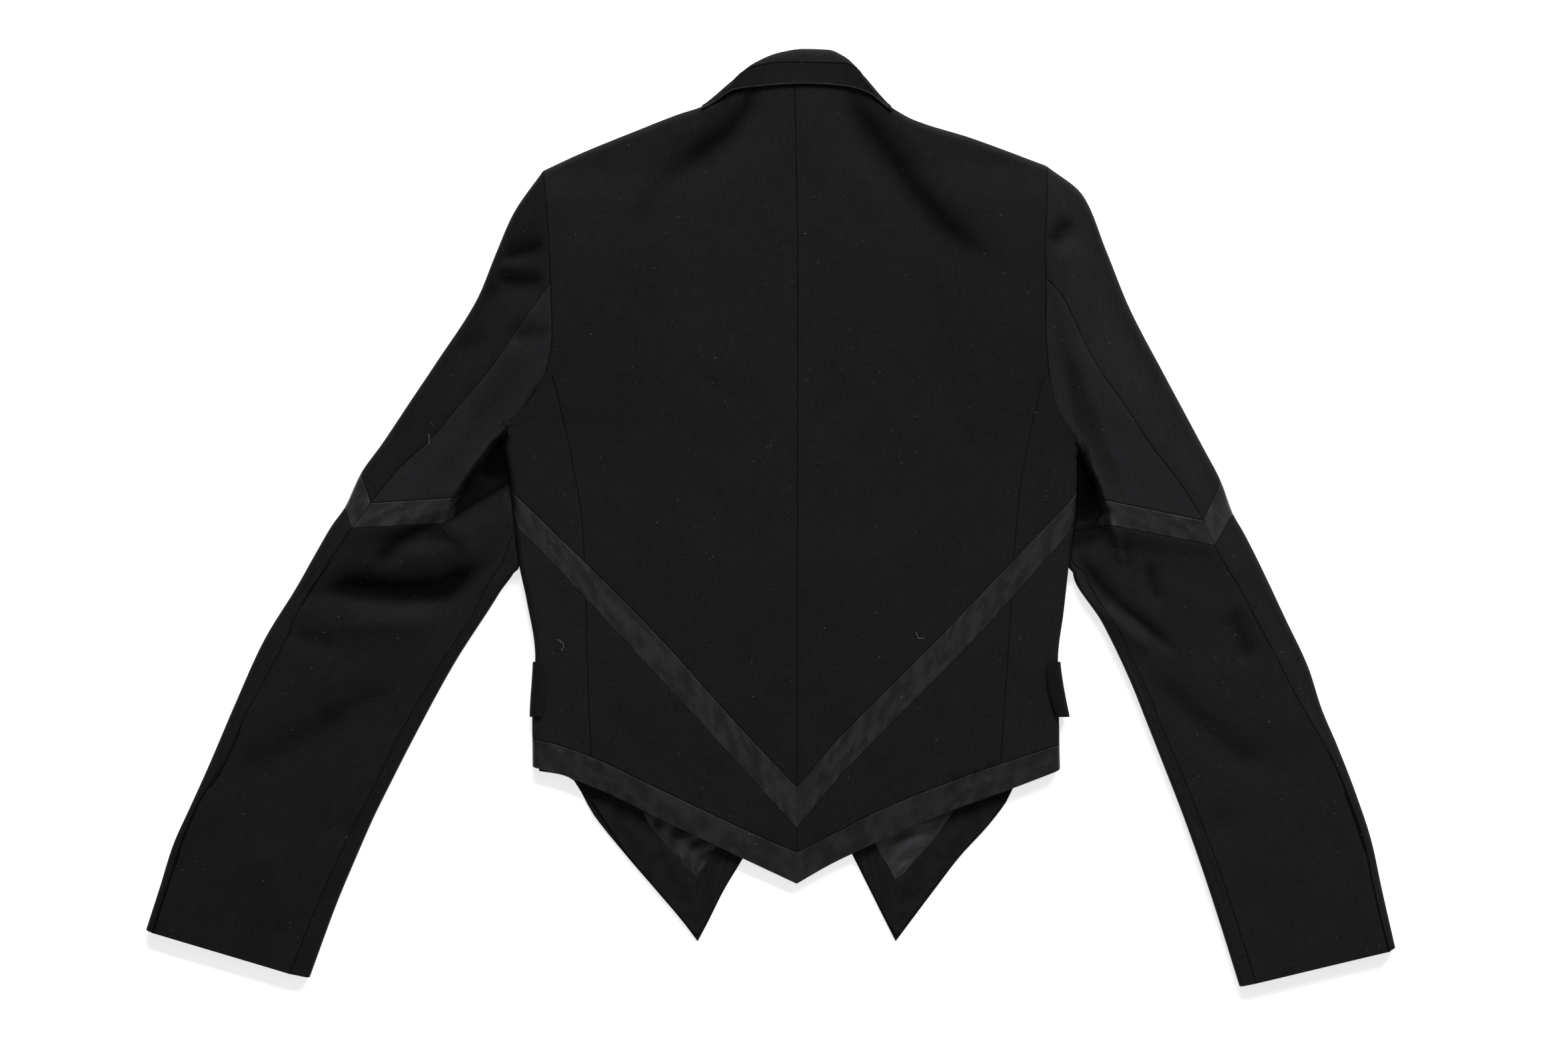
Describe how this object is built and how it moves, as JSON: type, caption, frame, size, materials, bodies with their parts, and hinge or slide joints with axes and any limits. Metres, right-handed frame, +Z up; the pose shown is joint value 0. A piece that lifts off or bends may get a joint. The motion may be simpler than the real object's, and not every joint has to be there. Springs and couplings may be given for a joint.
{
  "type": "tailored jacket laid flat",
  "caption": "Cropped tailored jacket in black wool with satin bands across the back, hem and elbows, lying face down and flat.",
  "frame": {"origin": "on the surface it lies on, under the middle of the jacket's outline", "axes": "+X across the back towards the sleeve at the picture's right, +Y from hem to collar, +Z up out of the jacket's back"},
  "size_m": [0.9768, 0.7318, 0.021],
  "materials": {
    "wool": "fine matt worsted wool, near black",
    "satin": "black satin with a low sheen",
    "lining": "dark grey lining with a soft sheen"
  },
  "bodies": {
    "root": {"back_hem_band": "satin", "back_lower_left": "wool", "back_lower_right": "wool", "back_upper_left": "wool", "back_upper_right": "wool", "back_v_band": "satin", "collar_fall": "wool", "collar_stand": "wool", "cuff_vent_left": "wool", "cuff_vent_right": "wool", "front_collar_left": "wool", "front_collar_right": "wool", "front_facing_left": "satin", "front_facing_right": "satin", "front_left": "wool", "front_lining_left": "lining", "front_lining_right": "lining", "front_right": "wool", "lapel_left": "satin", "lapel_right": "satin", "pocket_flap_left": "wool", "pocket_flap_right": "wool", "side_lower_left": "wool", "side_lower_right": "wool", "side_upper_left": "wool", "side_upper_right": "wool", "topsleeve_band_left": "satin", "topsleeve_band_right": "satin", "topsleeve_lower_left": "wool", "topsleeve_lower_right": "wool", "topsleeve_upper_left": "wool", "topsleeve_upper_right": "wool", "undersleeve_band_left": "satin", "undersleeve_band_right": "satin", "undersleeve_lower_left": "wool", "undersleeve_lower_right": "wool", "undersleeve_upper_left": "wool", "undersleeve_upper_right": "wool"}
  },
  "joints": []
}
